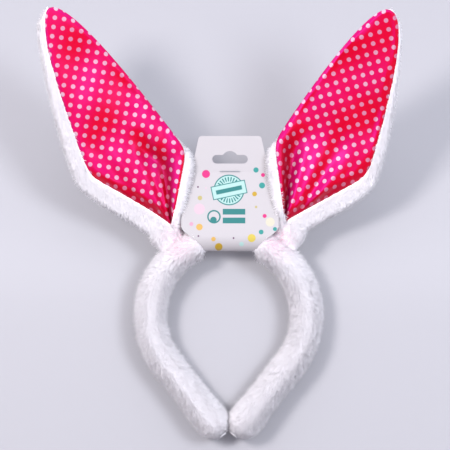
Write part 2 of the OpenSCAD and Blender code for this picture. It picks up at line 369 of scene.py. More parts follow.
# Painted sheen: the base colour turns from deep red to magenta, and the dots from dull pink to near-white, as the
# surface's normal tilts up and to the left. A random mottle is added on top.
lie = add(tree, "TexCoord")
painted_sheen_tilt = add(tree, "VectorMath", [(lie.outputs["Normal"], 0)], operation="DOT_PRODUCT")
painted_sheen_tilt.inputs[1].default_value = (-0.7, 0, 1.1)
painted_sheen_and_mottle = math_node(tree, "ADD", math_node(tree, "MULTIPLY_ADD", painted_sheen_tilt.outputs["Value"], 2.0, 0.5),
                 mottled(tree, 30, 0.5), clamp=True)
red = mix_colour(tree, painted_sheen_and_mottle, (0.45, 0.0, 0.008), (0.46, 0.003, 0.115))
hollow = add(tree, "Attribute", attribute_name="hollow")
shaded = math_node(tree, "MULTIPLY", hollow.outputs["Fac"], 0.9, clamp=True)
red = mix_colour(tree, shaded, red, (0.24, 0.0, 0.003))
dot = mix_colour(tree, painted_sheen_and_mottle, (0.40, 0.15, 0.22), (0.49, 0.37, 0.43))
dot = mix_colour(tree, shaded, dot, (0.32, 0.06, 0.09))
tree.links.new(mix_colour(tree, in_dot.outputs[0], red, dot), shader.inputs["Base Color"])
threads = add(tree, "TexWave", [(cloth.outputs[0], "Vector")], wave_type="BANDS",
              bands_direction="DIAGONAL", Scale=9, Distortion=1.2, Detail=2)
bump = add(tree, "Bump", [(threads.outputs["Fac"], "Height")], Strength=0.05, Distance=0.0002)
tree.links.new(bump.outputs[0], shader.inputs["Normal"])

# %% Wadding, thread, band plastic, staple wire
wadding_mat, tree, shader = material("needled_wadding", (0.84, 0.84, 0.82), 0.95, Sheen_Weight=0.3)
tree.links.new(mix_colour(tree, math_node(tree, "ADD", mottled(tree, 900, 1.5), 0.5, clamp=True),
                          (0.74, 0.74, 0.72), (0.90, 0.90, 0.88)), shader.inputs["Base Color"])
thread_mat, tree, shader = material("white_thread", (0.88, 0.86, 0.88), 0.6, Sheen_Weight=0.2)
tree.links.new(mix_colour(tree, math_node(tree, "ADD", mottled(tree, 2500, 1.5), 0.5, clamp=True),
                          (0.78, 0.76, 0.79), (0.93, 0.92, 0.94)), shader.inputs["Base Color"])
plastic, tree, shader = material("band_plastic", (0.82, 0.82, 0.80), 0.45)
tree.links.new(math_node(tree, "ADD", mottled(tree, 400, 0.2), 0.45), shader.inputs["Roughness"])
wire, tree, shader = material("staple_wire", (0.42, 0.43, 0.46), 0.32, Metallic=1.0)
tree.links.new(math_node(tree, "ADD", mottled(tree, 1500, 0.3), 0.33), shader.inputs["Roughness"])

# %% [markdown]
# ## Pile
#
# Real plush is a knitted cloth with thousands of short hairs. Hairs can't leave Blender as a mesh,
# so the pile here is made of small three-sided tufts, each closed and tapered to a point. Each tuft
# runs straight from its root to its point, and the tufts are set at places spread evenly over the cloth.

# %% Tufts
TUFT_SIDES = 3
tuft_ring = np.array([[math.cos(2 * math.pi * i / TUFT_SIDES), math.sin(2 * math.pi * i / TUFT_SIDES)]
                      for i in range(TUFT_SIDES)])


def spread(obj, count, rng, data, density):
    """Even places on the cloth: point, normal, UV and the points' own data there, and the area."""
    mesh = obj.data
    mesh.calc_loop_triangles()
    n = len(mesh.loop_triangles)
    tri, loops = np.empty(n * 3, np.int32), np.empty(n * 3, np.int32)
    mesh.loop_triangles.foreach_get("vertices", tri)
    mesh.loop_triangles.foreach_get("loops", loops)
    tri = tri.reshape(-1, 3)
    normal, uv = np.empty(len(mesh.vertices) * 3), np.empty(len(mesh.loops) * 2)
    mesh.vertices.foreach_get("normal", normal)
    mesh.uv_layers["OFBake"].data.foreach_get("uv", uv)
    uv = uv.reshape(-1, 2)[loops.reshape(-1, 3)]
    co, normal = points(obj), normal.reshape(-1, 3)
    a, b, c = co[tri[:, 0]], co[tri[:, 1]], co[tri[:, 2]]
    area = np.linalg.norm(np.cross(b - a, c - a), axis=1) / 2
    share = np.cumsum(area * density[tri].mean(1))
    steps = (np.arange(count) + rng.random(count)) / count
    picked = np.minimum(np.searchsorted(share / share[-1], steps), n - 1)
    r1, r2 = np.sqrt(rng.random(count)), rng.random(count)
    weight = np.stack([1 - r1, r1 * (1 - r2), r1 * r2], -1)[..., None]
    out = (normal[tri[picked]] * weight).sum(1)
    out /= np.linalg.norm(out, axis=1, keepdims=True) + 1e-12
    return ((co[tri[picked]] * weight).sum(1), out, (uv[picked] * weight).sum(1),
            (data[tri[picked]] * weight).sum(1), (area * (density[tri].mean(1) > 0)).sum())


def blush_at(place):
    """How pink the plush is here, strongest near each ear's foot, 0 to 1."""
    near = [np.linalg.norm(place - (np.array(joints[f"{name}_ear_tilt"]["pos_m"]) * (1.13, 0, 1.13)
                                    + (0, -9 * MM, 9 * MM)), axis=1) for name in ("left", "right")]
    return np.exp(-(np.minimum(*near) / (11 * MM)) ** 2)


def grow_pile(obj, count, length, width, data, comb, seed, density=None):
    """Covers obj with tufts and joins them to it. comb(data, normals) says where each hair leans, how
    far (0 upright, 1 flat) and how long it is as a share of length, where 0 leaves it out."""
    rng = np.random.default_rng(seed)
    density = np.ones(len(obj.data.vertices)) if density is None else density
    root, out, uv, here, area = spread(obj, count, rng, data, density)
    lean, lay, share = comb(here, out)
    keep = share > 0.02
    root, out, uv, lean, lay, share = (v[keep] for v in (root, out, uv, lean, lay, share))
    n = len(root)
    lean = lean / (np.linalg.norm(lean, axis=1, keepdims=True) + 1e-12)
    lay = np.clip(lay + rng.normal(0, 0.1, n), 0, 0.97)[:, None]
    rise = out * (1 - lay) + lean * lay + rng.normal(0, 0.17, (n, 3))
    rise /= np.linalg.norm(rise, axis=1, keepdims=True)
    long = (length * share * rng.uniform(0.7, 1.15, n))[:, None]
    foot = root - out * 0.3 * MM
    side = np.cross(rise, rng.normal(0, 1, (n, 3)))
    side /= np.linalg.norm(side, axis=1, keepdims=True)
    other = np.cross(rise, side)
    wide = (width * rng.uniform(0.8, 1.2, n))[:, None, None] / 2
    ring = (side[:, None, :] * tuft_ring[None, :, :1] + other[:, None, :] * tuft_ring[None, :, 1:]) * wide
    co = np.concatenate([foot[:, None] + ring, (foot + rise * long)[:, None]], 1)
    per = TUFT_SIDES + 1
    first = (np.arange(n) * per)[:, None]
    faces = [first + np.array([[i, (i + 1) % TUFT_SIDES, TUFT_SIDES]]) for i in range(TUFT_SIDES)]
    faces.append(first + np.array([list(range(TUFT_SIDES))[::-1]]))
    loops = np.concatenate(faces, 1).ravel()
    sizes = np.full(n * (TUFT_SIDES + 1), 3)
    mesh = bpy.data.meshes.new(obj.name + "_pile")
    mesh.vertices.add(n * per)
    mesh.vertices.foreach_set("co", co.astype(np.float32).ravel())
    mesh.loops.add(len(loops))
    mesh.loops.foreach_set("vertex_index", loops.astype(np.int32))
    mesh.polygons.add(len(sizes))
    mesh.polygons.foreach_set("loop_start", (np.cumsum(sizes) - sizes).astype(np.int32))
    mesh.update(calc_edges=True)
    layer = mesh.uv_layers.new(name="OFBake")
    layer.data.foreach_set("uv", uv[loops // per].astype(np.float32).ravel())
    # tip: 0.3 round the root and 1 at the point, for the plush's painted root shade.
    tip_of = np.tile(np.repeat([0.3, 1.0], [TUFT_SIDES, 1]), n)
    mesh.attributes.new("tip", "FLOAT", "POINT").data.foreach_set("value", tip_of.astype(np.float32))
    pink = np.repeat(blush_at(root) * rng.exponential(0.7, n), per)
    mesh.attributes.new("blush", "FLOAT", "POINT").data.foreach_set("value", pink.astype(np.float32))
    mesh.polygons.foreach_set("use_smooth", np.ones(len(sizes), bool))
    mesh.materials.append(plush)
    soft = np.repeat(out, per, 0) + 0.3 * np.random.default_rng(seed + 1).normal(0, 1, (n * per, 3))
    soft /= np.linalg.norm(soft, axis=1, keepdims=True)
    mesh.normals_split_custom_set_from_vertices(soft.astype(np.float32))
    pile = bpy.data.objects.new(obj.name + "_pile", mesh)
    bpy.context.scene.collection.objects.link(pile)
    # The cloth under the pile takes tip 0.7, a light share of the painted root shade, and the pink tint near each
    # ear's foot.
    for key, value in (("tip", np.full(len(obj.data.vertices), 0.7)), ("blush", blush_at(points(obj)))):
        obj.data.attributes.new(key, "FLOAT", "POINT").data.foreach_set("value", value.astype(np.float32))
    choose(obj)
    pile.select_set(True)
    bpy.ops.object.join()
    print(f"{obj.name}: {n} tufts, {n / (area * 1e6):.2f} a mm2")
    return obj


def closed_shell(name, around, rings):
    """A ball whose rings become cross-sections. Returns it with each point's share along and angle."""
    deselect()
    bpy.ops.mesh.primitive_uv_sphere_add(segments=around, ring_count=rings, radius=1)
    obj = named(name)
    co = points(obj)
    along = np.arccos(np.clip(co[:, 2], -1, 1)) / math.pi
    turn_angle = np.arctan2(co[:, 1], co[:, 0])
    uv = np.empty(len(obj.data.loops) * 2)
    obj.data.uv_layers[0].data.foreach_get("uv", uv)
    obj.data.uv_layers[0].name = "OFBake"
    obj.data.materials.append(plush)
    return obj, along, turn_angle


# %% [markdown]
# ## The plush tube
#
# The tube is one sewn sleeve. It is built in two halves that meet under the card. Each half is a ball
# stretched along the ring's middle line: one pole closes it under the card and the other makes the
# round end. A seam runs along it, where the pile parts.

# %% Sleeve halves
card_low, card_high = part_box("header_card")
card_x = (card_low.x + card_high.x) / 2
channel_half = 22.5 * MM
cloth_r = 8.3 * MM
pile_len = 7.2 * MM


def under_card(x):
    return 1 - smoothstep(np.abs(x - card_x), channel_half - 2 * MM, channel_half + 3 * MM)


def sleeve(side, seam_angle, dent, seed):
    name = "left" if side < 0 else "right"
    flip = np.array([side, 1, 1])
    obj, along, around = closed_shell(f"{name}_sleeve_plush", 40, 150)
    far = along * (half_len + cloth_r * math.pi / 2)
    t = np.minimum(far, half_len)
    bend = np.clip((far - half_len) / cloth_r, 0, math.pi / 2)
    place, ahead, out = ring_line(t)
    swell = 0.22 * np.sin(t / (9.1 * MM) + 2 * around + seed) * MM
    beside = np.angle(np.exp(1j * (around - seam_angle)))
    crease = dent * np.exp(-(beside / 0.26) ** 2) * smoothstep(t, 60 * MM, 90 * MM)
    pressed = under_card(side * place[:, 0]) * (t < arc_len / 2)
    full = cloth_r + 0.9 * MM * smoothstep(t, half_len - 30 * MM, half_len - 8 * MM)
    r = (full + swell - crease) * np.cos(bend) * (along > 1e-4) * (1 - 0.12 * pressed)
    co = (place + ahead * (cloth_r * np.sin(bend))[:, None] + out * (np.cos(around) * r)[:, None]
          + np.array([0, -1, 0]) * (np.sin(around) * r)[:, None])
    co[:, 0] = np.maximum(co[:, 0], 0.05 * MM)
    set_points(obj, co * flip)
    face_outward(obj)
    smooth(obj)
    data = np.stack([t, np.cos(around), np.sin(around), pressed, smoothstep(far, half_len - 9 * MM, half_len + 4 * MM)], -1)

    def comb(here, normal):
        _, ahead, _ = ring_line(here[:, 0])
        beside = np.angle(np.exp(1j * (np.arctan2(here[:, 2], here[:, 1]) - seam_angle)))
        across = np.cross(ahead * flip, normal) * (-side * np.sign(beside))[:, None]
        part = (np.exp(-(beside / 0.7) ** 2) * smoothstep(here[:, 0], 55 * MM, 85 * MM))[:, None]
        lean = ahead * flip * 0.8 + across * part * 0.9
        lay = 0.45 + 0.50 * here[:, 3] - 0.35 * here[:, 4]
        return lean, lay, 1 - 0.5 * here[:, 3] - 0.1 * part[:, 0] - 0.3 * here[:, 4]

    grow_pile(obj, 46000, pile_len, 0.62 * MM, data, comb, seed)
    flex = Vector(joints[f"{name}_arm_open"]["pos_m"])
    ahead = Vector((side * (flex.z - ring_z), 0, -side * flex.x)).normalized()
    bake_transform(obj)
    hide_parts(f"sleeve_{name}", *(["sleeve_crown"] if side > 0 else []))
    return obj


sleeve(1, 1.35, 0.3 * MM, 11)
sleeve(-1, 1.75, 1.6 * MM, 12)

# %% [markdown]
# ## The ears
#
# Each ear is a plush back rolled round to the front as a rim, a stiff layer of wadding, and a satin
# front. All three are gathered into a narrow foot that is sewn to the tube. The ear is drawn on a
# flat pattern, `q` across (outward is positive) and `s` up from the foot, then given depth and a
# gentle bend where the ear folds.

# %% Ear pattern
EARS = {
    "left": dict(side=-1, inner=(10, 58, 40.5, 0.50, 1.0), outer=(11, 77, 37.5, 0.52, 1.15),
                 rim_in=(1, 50, 40.5), rim_low=14.0, rim_mid=9.5, rim_top=4.2, thin=0.35, rows=-8.5, valley=0.34,
                 wave=0.4),
    "right": dict(side=1, inner=(11, 68, 37.5, 0.50, 1.0), outer=(16, 75, 42.0, 0.50, 1.0),
                  rim_in=(1, 58, 37.5), rim_low=12.5, rim_mid=5.5, rim_top=1.0, thin=0.6, rows=16, valley=0.20,
                  wave=2.4),
}


FOOT_S = -2.6 * MM
FOOT_FLARE = 9.0 * MM


def leaf(s, tip, foot, shoulder, half, power, hollow=1.0):
    """Half width of a leaf: a straight or slightly hollow flank from its foot, then a rounded blade."""
    s, tip = s / MM, tip / MM
    flank = half * np.clip((s - foot) / (shoulder - foot), 1e-4, None) ** hollow
    blade = half * np.clip(1 - (s - shoulder) / (tip - shoulder), 1e-6, None) ** power
    return np.maximum((flank ** -14.0 + blade ** -14.0) ** (-1 / 14.0), 0) * MM


def node_points(name):
    obj = frame["nodes"][name]
    return points(obj) @ np.array(obj.matrix_world)[:3, :3].T + np.array(obj.matrix_world.translation)


class Ear:
    def __init__(self, name, side, inner, outer, rim_in, rim_low, rim_mid, rim_top, thin, rows, valley,
                 wave):
        self.name, self.side, self.rows = name, side, rows
        self.inner, self.outer, self.rim_line = inner, outer, rim_in
        self.rim_widths, self.valley, self.wave, self.thin = (rim_low, rim_mid, rim_top), valley, wave, thin
        tilt, fold = (joints[f"{name}_ear_{kind}"] for kind in ("tilt", "fold"))
        pivot, hinge, axis = Vector(tilt["pos_m"]), Vector(fold["pos_m"]), Vector(fold["axis"])
        root = pivot + (pivot - Vector((0, 0, ring_z))).normalized() * tube_r
        self.up = np.array([side * abs(axis.z), 0, abs(axis.x)])
        self.out = np.array([side * abs(axis.x), 0, -abs(axis.z)])
        self.root = np.array(root)
        self.bend = -math.radians(fold["range_deg"][0])
        self.fold_y = -hinge.y
        self.fold_s = float(np.dot(np.array(hinge) - self.root, self.up))
        along = self.up * math.cos(self.bend) + np.array([0, -math.sin(self.bend), 0])
        self.tip = self.fold_s + float(((node_points(f"{name}_tip_satin") - np.array(hinge)) @ along).max())
        self.hinge = hinge
        fine = np.linspace(0, self.tip + 0.02, 800)
        turn_by = self.bend * smoothstep(fine, self.fold_s - 38 * MM, self.fold_s + 38 * MM)
        step = fine[1] - fine[0]
        self.fine, self.turn_by = fine, turn_by
        self.fine_up = np.cumsum(np.cos(turn_by)) * step - step
        self.fine_on = np.cumsum(np.sin(turn_by)) * step

    def point(self, q, s, depth):
        """Place of pattern point (q, s), that far forward of the ear's middle plane."""
        a = np.interp(s, self.fine, self.turn_by)
        rise = np.where(s < 0, s, np.interp(s, self.fine, self.fine_up))
        on = np.interp(s, self.fine, self.fine_on)
        ahead = np.array([0, -1.0, 0])
        rest = (depth - self.fold_y)[..., None]
        return (self.root + self.up * rise[..., None] + self.out * q[..., None]
                + ahead * (on + self.fold_y)[..., None]
                + (ahead * np.cos(a)[..., None] - self.up * np.sin(a)[..., None]) * rest)

    def edges(self, s):
        """Satin half widths, inner and outer."""
        return (np.maximum(leaf(s, self.tip, *self.inner), 0.9 * MM * (s < 40 * MM)),
                np.maximum(leaf(s, self.tip, *self.outer), 0.9 * MM * (s < 40 * MM)))

    def rim_edges(self, s):
        """Half widths of the plush cloth, inner and outer."""
        inner, outer = self.edges(np.clip(s, 0, None))
        low, mid, top = (w * MM for w in self.rim_widths)
        wide = low + (mid - low) * smoothstep(s, 50 * MM, 85 * MM)
        wide = wide + (top - mid) * smoothstep(s, 85 * MM, self.tip)
        foot = smoothstep(s, -12 * MM, 12 * MM)
        flare = FOOT_FLARE * np.exp(-np.clip(s - FOOT_S, 0, None) / (6 * MM))
        end = np.sqrt(np.clip((self.tip + 1.5 * MM - s) / (9 * MM), 0, 1))
        roll = leaf(s, self.tip + 1.2 * MM, *self.rim_line, self.inner[3])
        blend = smoothstep(s, 60 * MM, 80 * MM)
        inside = np.maximum(roll, 4 * MM) * (1 - blend) + (inner - 0.7 * MM) * blend
        return (inside + 0.3 * flare) * end, (outer + wide * (0.55 + 0.45 * foot) + flare) * end

    def hollow(self, q, s):
        """Where the satin lies in shade: the valley and the turned-under lower edge, 0 to 1."""
        inner, outer = self.edges(s)
        low = smoothstep(s, 2 * MM, 16 * MM) * (1 - smoothstep(s, 50 * MM, 88 * MM))
        deep = np.exp(-(((q + inner) / (inner + outer) - self.valley + 0.03) / 0.12) ** 2)
        under = 1 - smoothstep(outer - q, 3 * MM, 12 * MM)
        return np.clip(deep * low + 0.9 * under * low + 0.5 * (1 - smoothstep(s, 0, 25 * MM)), 0, 1)

    def depth(self, q, s):
        """How far the satin stands forward: a valley near the inner side, pleats, and soft waves."""
        inner, outer = self.edges(s)
        from_in, from_out = q + inner, outer - q
        low = smoothstep(s, 6 * MM, 26 * MM) * (1 - smoothstep(s, 62 * MM, 96 * MM))
        wide = inner + outer
        deep = np.exp(-((from_in / wide - self.valley) / 0.10) ** 2)
        lift = 1 - smoothstep(from_in / wide, 0.0, self.valley)
        under = 1 - smoothstep(from_out, 0, 10 * MM)
        fan = np.arctan2(q, s + 4 * MM)
        fold = np.sin(19 * fan + self.wave) + 0.6 * np.sin(31 * fan + 2 * self.wave + s / (30 * MM))
        pleat = smoothstep(s, 8 * MM, 30 * MM) * (1 - smoothstep(s, 55 * MM, 112 * MM))
        free = smoothstep(np.minimum(from_in, from_out), 0, 7 * MM)
        swell = np.sin((s + 0.8 * q) / (9.5 * MM) + self.wave) * 0.8 + np.sin((s - 1.3 * q) / (15 * MM)) * 0.7
        high = smoothstep(s, 60 * MM, 110 * MM) * (1 - 0.6 * smoothstep(s, 150 * MM, self.tip))
        turned = 1 - smoothstep(np.minimum(from_in, from_out), 0, 3 * MM)
        return (4.6 - 6.5 * deep * low + 4.0 * lift * low - 4.5 * under * low
                + (1.3 * fold * pleat + 1.3 * swell * high) * free - 1.5 * turned) * MM


EAR = {name: Ear(name, **sizes) for name, sizes in EARS.items()}
for ear in EAR.values():
    print(f"{ear.name} ear: {ear.tip / MM:.0f} mm long, folds at {ear.fold_s / MM:.0f} mm by "
          f"{math.degrees(ear.bend):.0f} degrees")


# %% [markdown]
# The satin is a grid drawn between its two edges. It is turned under all round, gathered into the
# foot, and printed in its own flat measure: arc length across, distance up the middle.

# %% Satin fronts
def grid(name, across, up):
    deselect()
    bpy.ops.mesh.primitive_grid_add(x_subdivisions=across, y_subdivisions=up, size=2)
    obj = named(name)
    co = points(obj)
    return obj, (co[:, 0] + 1) / 2, (co[:, 1] + 1) / 2


def satin_front(ear):
    across, up = 72, 180
    obj, a, b = grid(f"{ear.name}_satin_front", across, up)
    s = 1.5 * MM + (ear.tip - 1.5 * MM) * b
    inner, outer = ear.edges(s)
    q = -inner + (inner + outer) * a
    co = ear.point(q, s, ear.depth(q, s))
    set_points(obj, co)
    hollow = obj.data.attributes.new("hollow", "FLOAT", "POINT")
    hollow.data.foreach_set("value", ear.hollow(q, s).astype(np.float32))
    # flat measure
    column, row = np.rint(a * across).astype(int), np.rint(b * up).astype(int)
    table = np.empty((up + 1, across + 1), int)
    table[row, column] = np.arange(len(a))
    rows = co[table]
    step = np.linalg.norm(np.diff(rows, axis=1), axis=2)
    length = np.concatenate([np.zeros((up + 1, 1)), np.cumsum(step, 1)], 1)
    middle = np.array([np.interp(0, q[table[i]], length[i]) for i in range(up + 1)])
    flat_q = np.empty(len(a))
    flat_q[table] = length - middle[:, None]
    flat = ear.out * flat_q[:, None] + ear.up * s[:, None]
    angle = math.radians(ear.rows)
    u = (flat[:, 0] * math.cos(angle) + flat[:, 2] * math.sin(angle)) / dot_step
    v = (-flat[:, 0] * math.sin(angle) + flat[:, 2] * math.cos(angle)) / dot_step
    loop_vert = np.empty(len(obj.data.loops), np.int32)
    obj.data.loops.foreach_get("vertex_index", loop_vert)
    layer = obj.data.uv_layers.new(name="cloth")
    layer.data.foreach_set("uv", np.stack([u, v], -1)[loop_vert].astype(np.float32).ravel())
    if obj.data.polygons[len(obj.data.polygons) // 2].normal.y > 0:
        obj.data.flip_normals()
    obj.data.materials.append(satin)
    apply_modifier(obj, "SOLIDIFY", thickness=0.5 * MM, offset=-1)
    smooth(obj)
    wide = (inner + outer).max()
    area = float(np.trapz((inner + outer)[table[:, 0]], s[table[:, 0]]))
    print(f"{obj.name}: flat {wide / MM:.0f} x {ear.tip / MM:.0f} mm, {area * 1e4:.0f} cm2")
    return obj, (float(wide), float(ear.tip)), area


def bend_with(obj):
    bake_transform(obj)


def wadding_layer(ear):
    obj, a, b = grid(f"{ear.name}_wadding_layer", 40, 100)
    s = 9 * MM + (ear.tip - 14 * MM) * b
    inner, outer = ear.edges(s)
    margin = np.minimum(3.5 * MM, 0.4 * (inner + outer))
    q = -inner + margin + (inner + outer - 2 * margin) * a
    set_points(obj, ear.point(q, s, ear.depth(q, s) - 1.0 * MM))
    if obj.data.polygons[len(obj.data.polygons) // 2].normal.y > 0:
        obj.data.flip_normals()
    obj.data.materials.append(wadding_mat)
    apply_modifier(obj, "SOLIDIFY", thickness=2.2 * MM, offset=-1)
    smooth(obj)
    width = float((inner + outer - 2 * margin).max())
    order = np.argsort(s)
    area = float(np.trapz((inner + outer - 2 * margin)[order], s[order]))
    return obj, (width, float(ear.tip - 14 * MM)), area


for ear in EAR.values():
    filling, size, area = wadding_layer(ear)
    bend_with(filling)
    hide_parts(f"{ear.name}_ear_wadding", f"{ear.name}_tip_wadding")
    front, front_size, front_area = satin_front(ear)
    bend_with(front)
    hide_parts(f"{ear.name}_ear_satin", f"{ear.name}_tip_satin")
    ear.soft = (filling, size, area, front, front_size, front_area)

# %% [markdown]
# The plush back is one closed skin: its back is full pile, its edge rolls forward as the rim, and
# under the satin it is a thin tray that the wadding lies in. No pile grows there.

# %% Plush backs
def plush_section(ear, s, around):
    """The plush cloth round the ear at height s: places across, depths, and the distance in from the
    satin's edge. Angle 0 is outward and 90 degrees is the front."""
    inner, outer = ear.rim_edges(s)
    closing = np.sqrt(np.clip((s - FOOT_S) / (5 * MM), 0, 1)) * 0.3 + 0.7
    c, d = np.cos(around), np.sin(around)
    q = (outer - inner) / 2 + (inner + outer) / 2 * closing * np.sign(c) * np.abs(c) ** 0.85
    on_satin = np.clip(s, 1.5 * MM, ear.tip)
    s_in, s_out = ear.edges(on_satin)
    sheet = ear.depth(np.clip(q, -s_in, s_out), on_satin)
    from_edge = np.minimum(q + s_in, s_out - q)
    rim = sheet + 0.6 * MM + 2.2 * MM * (1 - np.exp(-np.maximum(-from_edge, 0) / (3 * MM)))
    front = sheet - 4.4 * MM + (rim - sheet + 4.4 * MM) * (1 - smoothstep(from_edge, 0.3 * MM, 4.5 * MM))
    back = np.minimum(-7.0 * MM + 2.5 * MM * smoothstep(s, 120 * MM, ear.tip), front - 1.6 * MM)
    middle = np.clip(0, back + 0.8 * MM, front - 0.8 * MM)
    toward = np.where(d > 0, front, back)
    return q, middle + (toward - middle) * np.abs(d) ** 0.55, from_edge


def foot_section(ear, s, around, off):
    """The section at the foot, grown by off."""
    s = np.full(len(around), s)
    q, depth, _ = plush_section(ear, s, around)
    mid_q, mid_d = (q.max() + q.min()) / 2, (depth.max() + depth.min()) / 2
    away = np.stack([(q - mid_q) / np.ptp(q) ** 2, (depth - mid_d) / np.ptp(depth) ** 2])
    away /= np.linalg.norm(away, axis=0) + 1e-12
    return q + away[0] * off, depth + away[1] * off


def plush_back(ear, seed):
    obj, along, around = closed_shell(f"{ear.name}_ear_plush", 96, 150)
    s = FOOT_S + (ear.tip + 1.4 * MM - FOOT_S) * (0.5 - 0.5 * np.cos(math.pi * along)) ** 0.9
    q, depth, from_edge = plush_section(ear, s, around)
    d = np.sin(around)
    for end in (along < 1e-4, along > 1 - 1e-4):
        low, high = ear.rim_edges(s[end])
        q[end], depth[end] = (high - low) / 2, -1.5 * MM
    s_in, _ = ear.edges(np.clip(s, 1.5 * MM, ear.tip))
    x, round_off = np.cos(around), np.abs(d) ** 0.55
    hug = 0.7 * q ** 2 / (2 * (ring_r + tube_r)) * (1 - smoothstep(s, 0, 16 * MM))
    set_points(obj, ear.point(q, s - hug, depth))
    face_outward(obj)
    smooth(obj)
    under_satin = (d > 0) * (from_edge > 1.2 * MM)
    inner_edge = smoothstep(s, 55 * MM, 80 * MM) * (1 - smoothstep(q + s_in, 0, 9 * MM))
    on_front = np.where(d > 0, from_edge, -10 * MM)
    data = np.stack([q, s, np.sign(d) * round_off, inner_edge, np.where(x > 0, 1.0, -1.0), on_front], -1)
    density = np.where(under_satin, 0.0, 1.0 + 1.1 * (d > -0.2))

    def comb(here, normal):
        outward = ear.out * np.sign(here[:, 4])[:, None]
        lean = outward * 0.45 - ear.up * 0.6 + np.array([0, -0.2, 0]) * here[:, 2][:, None]
        share = (1 - 0.86 * here[:, 3]) * (1 - ear.thin * smoothstep(here[:, 1], 80 * MM, ear.tip))
        share *= 0.35 + 0.65 * smoothstep(here[:, 1], 0, 9 * MM)
        return lean, np.full(len(share), 0.5), share * (here[:, 5] < 0.3 * MM)

    grow_pile(obj, 42000, 5.4 * MM, 0.64 * MM, data, comb, seed, density)
    bend_with(obj)
    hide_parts(f"{ear.name}_ear_back", f"{ear.name}_tip_back")
    return obj


plush_back(EAR["left"], 21)
plush_back(EAR["right"], 22)

# %% [markdown]
# ## The card
#
# The header card is one piece of white board, printed, folded under the band and stapled. Each printed
# shape is worked out from the place on the card in millimetres. The badge and the mark are plain
# shapes with no lettering.

# %% Card print
card_mat, tree, shader = material("printed_card", (0.405, 0.38, 0.39), 0.42, Specular_IOR_Level=0.4)
where = add(tree, "TexCoord")
flat = add(tree, "VectorMath", [(where.outputs["Object"], 0)], operation="MULTIPLY")
flat.inputs[1].default_value = (1 / MM, 0, 1 / MM)
split = add(tree, "SeparateXYZ", [(where.outputs["Normal"], 0)])
front_only = math_node(tree, "LESS_THAN", split.outputs["Y"], -0.2)


def from_spot(x, z, turn=0.0):
    moved = add(tree, "VectorMath", [(flat.outputs[0], 0)], operation="SUBTRACT")
    moved.inputs[1].default_value = (x, 0, z)
    if not turn:
        return moved.outputs[0]
    return add(tree, "VectorRotate", [(moved.outputs[0], "Vector")], rotation_type="Y_AXIS",
               Angle=math.radians(turn)).outputs[0]


def inside(value, limit, soft=0.15):
    """1 where value is under limit, with a soft edge."""
    gap = math_node(tree, "SUBTRACT", limit, value)
    return math_node(tree, "MULTIPLY_ADD", gap, 0.5 / soft, 0.5, clamp=True)


def disc(x, z, r):
    return inside(add(tree, "VectorMath", [(from_spot(x, z), 0)], operation="LENGTH").outputs["Value"], r)


def block(x, z, wide, high, turn=0.0):
    parts = add(tree, "SeparateXYZ", [(from_spot(x, z, turn), 0)])
    across = inside(math_node(tree, "ABSOLUTE", parts.outputs["X"]), wide / 2)
    up = inside(math_node(tree, "ABSOLUTE", parts.outputs["Z"]), high / 2)
    return math_node(tree, "MULTIPLY", across, up)


TEAL, DEEP_TEAL, MINT = (0.02, 0.21, 0.19), (0.012, 0.14, 0.135), (0.31, 0.47, 0.44)
PINK, ROSE, MAGENTA = (0.48, 0.36, 0.41), (0.47, 0.24, 0.33), (0.48, 0.012, 0.14)
YELLOW, MUSTARD, KHAKI, CREAM = (0.47, 0.37, 0.06), (0.38, 0.24, 0.015), (0.36, 0.31, 0.12), (0.48, 0.45, 0.35)
AMBER, DARK = (0.48, 0.29, 0.07), (0.08, 0.02, 0.07)
CONFETTI = [
    (-18, 61.6, 3.2, MAGENTA), (22, 64.8, 2.1, TEAL), (27.6, 60.8, 1.6, MAGENTA), (26.8, 52.4, 2.4, TEAL),
    (20.8, 45.6, 1.9, MUSTARD), (-22.8, 42.4, 1.8, KHAKI), (-23.2, 33.6, 4.4, PINK), (22, 35.2, 1.0, KHAKI),
    (28.8, 28, 1.6, MAGENTA), (33.2, 23.2, 3.6, CREAM), (37, 17.6, 1.6, TEAL), (26, 15.2, 1.9, TEAL),
    (18.4, 10.4, 3.2, YELLOW), (-29.6, 21.6, 1.6, ROSE), (-23.2, 19.2, 2.6, AMBER), (-12, 9.6, 1.8, AMBER),
    (10.4, 5.6, 1.8, MINT), (-7.8, 3.4, 3.0, MUSTARD), (-24.4, 51.2, 0.7, DARK), (-24, 12, 0.7, DARK),
    (4, 10.4, 0.7, DARK), (-18, 50.4, 0.7, PINK),
]
ink = (0.405, 0.38, 0.39)
for x, z, r, colour in CONFETTI:
    ink = mix_colour(tree, disc(x, z, r), ink, colour)
badge_x, badge_z = 0.4, 48.8
for r, colour in ((12.3, DEEP_TEAL), (11.4, MINT), (10.4, DEEP_TEAL)):
    ink = mix_colour(tree, disc(badge_x, badge_z, r), ink, colour)
spoke = add(tree, "SeparateXYZ", [(from_spot(badge_x, badge_z), 0)])
bearing = math_node(tree, "ARCTAN2", spoke.outputs["Z"], spoke.outputs["X"])
rays = math_node(tree, "GREATER_THAN", math_node(tree, "SINE", math_node(tree, "MULTIPLY", bearing, 26)), -0.1)
ink = mix_colour(tree, math_node(tree, "MULTIPLY", rays, disc(badge_x, badge_z, 10.6)), ink, MINT)
ink = mix_colour(tree, disc(badge_x, badge_z, 6.8), ink, MINT)
ink = mix_colour(tree, block(badge_x, badge_z, 28, 11, 12), ink, DEEP_TEAL)
ink = mix_colour(tree, block(badge_x, badge_z, 26.6, 9.6, 12), ink, MINT)
ink = mix_colour(tree, block(badge_x, badge_z, 21, 3.4, 12), ink, DEEP_TEAL)
mark_x, mark_z = -11.6, 27.4
for r, colour in ((5.4, DEEP_TEAL), (4.2, (0.405, 0.38, 0.39))):
    ink = mix_colour(tree, disc(mark_x, mark_z, r), ink, colour)
